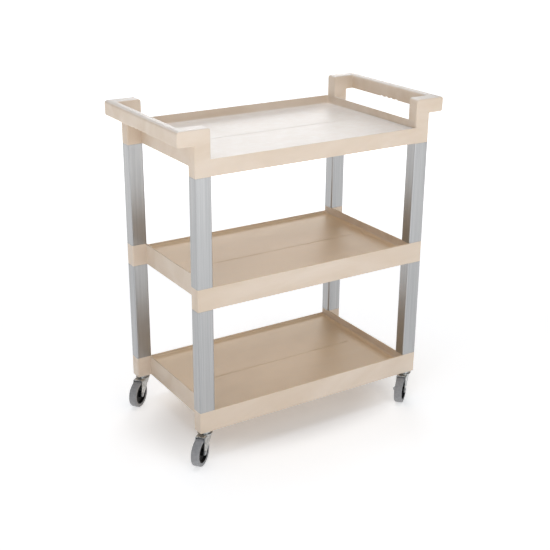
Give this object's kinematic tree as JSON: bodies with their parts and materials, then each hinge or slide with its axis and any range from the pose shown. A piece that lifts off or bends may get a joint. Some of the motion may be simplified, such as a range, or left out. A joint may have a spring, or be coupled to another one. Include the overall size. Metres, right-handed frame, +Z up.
{
  "type": "food service trolley",
  "caption": "Free-standing wheeled trolley: tiered moulded trays on rectangular aluminium uprights, grip handles at both ends, free-swivelling casters.",
  "frame": {"origin": "middle of the footprint on the floor, with the casters standing as stored; the trays' centre line lies at y = +16.0 mm because the turned front wheels stand out past the trays", "axes": "+Z up from the floor; +X along the trolley from one handle to the other; +Y across it, from the top tray's low side to its high side"},
  "size_m": [0.812, 0.455, 0.905],
  "materials": {
    "tray_plastic": "satin moulded, fine texture",
    "upright_aluminium": "brushed along its length",
    "fork_zinc": "bright zinc plate",
    "fastener_steel": "zinc plated",
    "ball_steel": "polished",
    "black_plastic": "satin",
    "tread_rubber": "matt grey"
  },
  "bodies": {
    "chassis": {"top_tray": "tray_plastic", "middle_tray": "tray_plastic", "bottom_tray": "tray_plastic", "upper_upright_fl": "upright_aluminium", "lower_upright_fl": "upright_aluminium", "upper_upright_fr": "upright_aluminium", "lower_upright_fr": "upright_aluminium", "upper_upright_bl": "upright_aluminium", "lower_upright_bl": "upright_aluminium", "upper_upright_br": "upright_aluminium", "lower_upright_br": "upright_aluminium", "socket_fl": "black_plastic", "stem_fl": "fork_zinc", "seal_fl": "fork_zinc", "balls_fl": "ball_steel", "socket_fr": "black_plastic", "stem_fr": "fork_zinc", "seal_fr": "fork_zinc", "balls_fr": "ball_steel", "socket_bl": "black_plastic", "stem_bl": "fork_zinc", "seal_bl": "fork_zinc", "balls_bl": "ball_steel", "socket_br": "black_plastic", "stem_br": "fork_zinc", "seal_br": "fork_zinc", "balls_br": "ball_steel"},
    "swivel_fl": {"fork_fl": "fork_zinc", "axle_fl": "fastener_steel", "nut_fl": "fastener_steel", "bush_fl": "fastener_steel"},
    "wheel_fl": {"hub_fl": "black_plastic", "tyre_fl": "tread_rubber"},
    "swivel_fr": {"fork_fr": "fork_zinc", "axle_fr": "fastener_steel", "nut_fr": "fastener_steel", "bush_fr": "fastener_steel"},
    "wheel_fr": {"hub_fr": "black_plastic", "tyre_fr": "tread_rubber"},
    "swivel_bl": {"fork_bl": "fork_zinc", "axle_bl": "fastener_steel", "nut_bl": "fastener_steel", "bush_bl": "fastener_steel"},
    "wheel_bl": {"hub_bl": "black_plastic", "tyre_bl": "tread_rubber"},
    "swivel_br": {"fork_br": "fork_zinc", "axle_br": "fastener_steel", "nut_br": "fastener_steel", "bush_br": "fastener_steel"},
    "wheel_br": {"hub_br": "black_plastic", "tyre_br": "tread_rubber"}
  },
  "joints": [
    {"name": "swivel_fl_turn", "type": "hinge", "parent": "chassis", "child": "swivel_fl", "pos_m": [-0.3375, -0.175, 0.0825], "axis": [0, 0, 1], "continuous": true},
    {"name": "wheel_fl_spin", "type": "hinge", "parent": "swivel_fl", "child": "wheel_fl", "pos_m": [-0.36429, -0.19593, 0.0385], "axis": [-0.6157, 0.788, 0], "continuous": true},
    {"name": "swivel_fr_turn", "type": "hinge", "parent": "chassis", "child": "swivel_fr", "pos_m": [0.3375, -0.175, 0.0825], "axis": [0, 0, 1], "continuous": true},
    {"name": "wheel_fr_spin", "type": "hinge", "parent": "swivel_fr", "child": "wheel_fr", "pos_m": [0.31071, -0.19593, 0.0385], "axis": [-0.6157, 0.788, 0], "continuous": true},
    {"name": "swivel_bl_turn", "type": "hinge", "parent": "chassis", "child": "swivel_bl", "pos_m": [-0.3375, 0.207, 0.0825], "axis": [0, 0, 1], "continuous": true},
    {"name": "wheel_bl_spin", "type": "hinge", "parent": "swivel_bl", "child": "wheel_bl", "pos_m": [-0.36429, 0.18607, 0.0385], "axis": [-0.6157, 0.788, 0], "continuous": true},
    {"name": "swivel_br_turn", "type": "hinge", "parent": "chassis", "child": "swivel_br", "pos_m": [0.3375, 0.207, 0.0825], "axis": [0, 0, 1], "continuous": true},
    {"name": "wheel_br_spin", "type": "hinge", "parent": "swivel_br", "child": "wheel_br", "pos_m": [0.31071, 0.18607, 0.0385], "axis": [-0.6157, 0.788, 0], "continuous": true}
  ]
}
